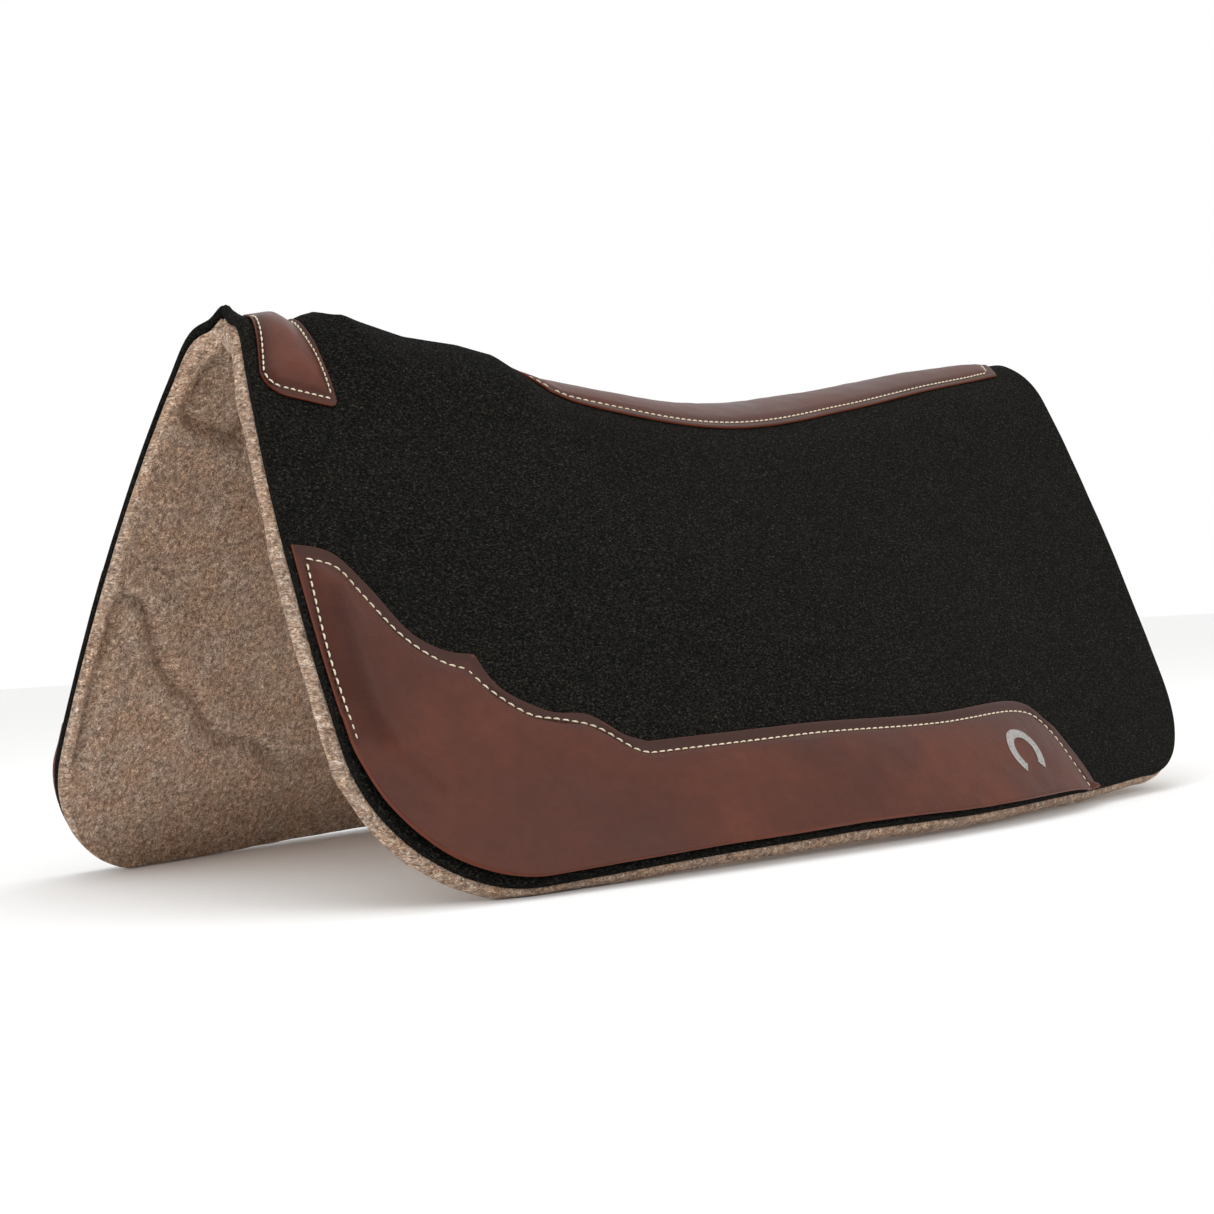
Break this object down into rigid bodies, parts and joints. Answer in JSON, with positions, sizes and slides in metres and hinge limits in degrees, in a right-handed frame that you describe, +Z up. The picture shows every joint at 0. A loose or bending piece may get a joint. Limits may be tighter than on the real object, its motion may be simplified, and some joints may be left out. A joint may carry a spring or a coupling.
{
  "type": "saddle pad",
  "caption": "Contoured felt Western saddle pad with a black top, natural wool underside, shaped wear leathers and stitched leather over the spine and withers.",
  "frame": {"origin": "on the ground, at the middle of the pad's box, where the pad stands on the lower edges of its flaps", "axes": "+X points to the horse's tail along the spine, +Y to its off (right) side, +Z up"},
  "size_m": [0.8311, 0.5268, 0.3593],
  "materials": {
    "wool_felt": "natural wool felt, fibrous, matt",
    "black_felt": "dense black felt, matt",
    "leather": "oiled pull-up leather, semi-matt",
    "thread": "waxed cream thread",
    "foil": "silver-grey foil, satin"
  },
  "bodies": {
    "near_side": {"bottom_felt_left": "wool_felt", "top_felt_left": "black_felt", "wear_leather_left": "leather", "wear_top_stitching_left": "thread", "wear_front_stitching_left": "thread", "foil_mark_left": "foil", "spine_leather": "leather", "withers_leather": "leather", "spine_stitching": "thread", "withers_stitching": "thread"},
    "off_side": {"bottom_felt_right": "wool_felt", "top_felt_right": "black_felt", "wear_leather_right": "leather", "wear_top_stitching_right": "thread", "wear_front_stitching_right": "thread", "foil_mark_right": "foil"}
  },
  "joints": [
    {"name": "spine_fold", "type": "hinge", "parent": "near_side", "child": "off_side", "pos_m": [0, 0, 0.3], "axis": [1, 0, 0], "range_deg": [-20, 30], "stiffness_Nm_per_rad": 60, "deforming": ["bottom_felt_left", "bottom_felt_right", "top_felt_left", "top_felt_right", "spine_leather", "spine_stitching", "withers_leather", "withers_stitching"]}
  ]
}
